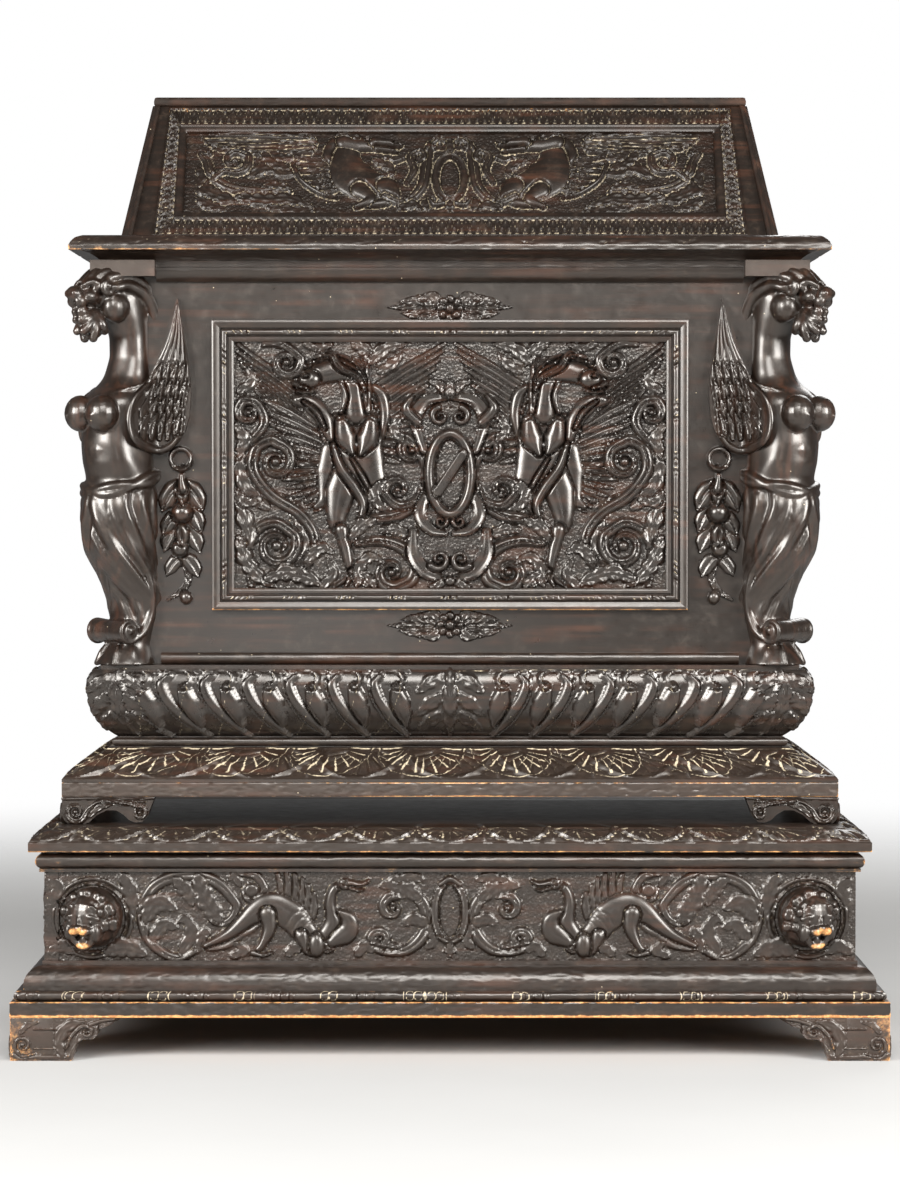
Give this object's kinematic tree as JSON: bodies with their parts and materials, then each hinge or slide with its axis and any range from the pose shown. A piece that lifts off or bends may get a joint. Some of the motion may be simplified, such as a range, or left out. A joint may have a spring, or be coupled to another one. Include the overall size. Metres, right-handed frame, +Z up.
{
  "type": "carved two-tier cassone",
  "caption": "Carved walnut chest in two tiers: a low case on bracket feet with a lift-off top, and a tall chest on scroll feet with a hinged, hipped lid.",
  "frame": {"origin": "on the floor, at the middle of the outline", "axes": "+Z up, +X to the chest's right as seen from the front, front at -Y"},
  "size_m": [1.4, 0.67, 1.566],
  "materials": {
    "ebonised_walnut": "near-black stained walnut, waxed, with ochre wear on the edges",
    "plain_walnut": "plain stained walnut on backs, rails and bottoms",
    "wrought_iron": "black hammered iron"
  },
  "bodies": {
    "lower_case": {"base_foot_front_left": "ebonised_walnut", "base_foot_front_right": "ebonised_walnut", "base_feet_rear": "ebonised_walnut", "plinth_moulding_front": "ebonised_walnut", "plinth_moulding_left": "ebonised_walnut", "plinth_moulding_right": "ebonised_walnut", "plinth_rail_back": "plain_walnut", "lower_front_board": "ebonised_walnut", "lower_back_board": "plain_walnut", "lower_side_board_left": "ebonised_walnut", "lower_side_board_right": "ebonised_walnut", "lower_bottom_board": "plain_walnut", "lower_roll_moulding": "ebonised_walnut", "lion_masks": "ebonised_walnut"},
    "lower_lid": {"lower_lid_border_front": "ebonised_walnut", "lower_lid_border_left": "ebonised_walnut", "lower_lid_border_right": "ebonised_walnut", "lower_lid_border_back": "plain_walnut", "lower_lid_panel": "ebonised_walnut", "lower_lid_cleats": "plain_walnut"},
    "chest": {"chest_foot_front_left": "ebonised_walnut", "chest_foot_front_right": "ebonised_walnut", "chest_feet_rear": "ebonised_walnut", "chest_base_board": "ebonised_walnut", "shell_moulding_front": "ebonised_walnut", "shell_moulding_left": "ebonised_walnut", "shell_moulding_right": "ebonised_walnut", "neck_bead": "ebonised_walnut", "gadroon_frieze_front": "ebonised_walnut", "gadroon_frieze_left": "ebonised_walnut", "gadroon_frieze_right": "ebonised_walnut", "frieze_rail_back": "plain_walnut", "case_bottom_board": "ebonised_walnut", "case_front_board": "ebonised_walnut", "case_back_board": "plain_walnut", "case_side_board_left": "ebonised_walnut", "case_side_board_right": "ebonised_walnut", "carved_panel": "ebonised_walnut", "panel_frame": "ebonised_walnut", "corner_figure_left": "ebonised_walnut", "corner_figure_right": "ebonised_walnut", "applied_wings": "ebonised_walnut", "fruit_pendants": "ebonised_walnut", "foot_bead": "ebonised_walnut", "crown_moulding": "ebonised_walnut", "crown_blocks": "ebonised_walnut", "case_hinge_leaves": "wrought_iron", "hinge_pins": "wrought_iron"},
    "lid": {"lid_cornice_front": "ebonised_walnut", "lid_cornice_left": "ebonised_walnut", "lid_cornice_right": "ebonised_walnut", "lid_cornice_back": "plain_walnut", "lid_front_board": "ebonised_walnut", "lid_front_panel": "ebonised_walnut", "lid_side_board_left": "ebonised_walnut", "lid_side_board_right": "ebonised_walnut", "lid_back_board": "plain_walnut", "lid_top_board": "ebonised_walnut", "lid_hip_reeds": "ebonised_walnut", "lid_hinge_leaves": "wrought_iron"}
  },
  "joints": [
    {"name": "lower_lid_lift", "type": "slide", "parent": "lower_case", "child": "lower_lid", "axis": [0, 0, 1], "range_m": [0, 0.25]},
    {"name": "chest_lift", "type": "slide", "parent": "lower_lid", "child": "chest", "axis": [0, 0, 1], "range_m": [0, 0.3]},
    {"name": "lid_hinge", "type": "hinge", "parent": "chest", "child": "lid", "pos_m": [0, 0.323, 1.281], "axis": [-1, 0, 0], "range_deg": [0, 95]}
  ]
}
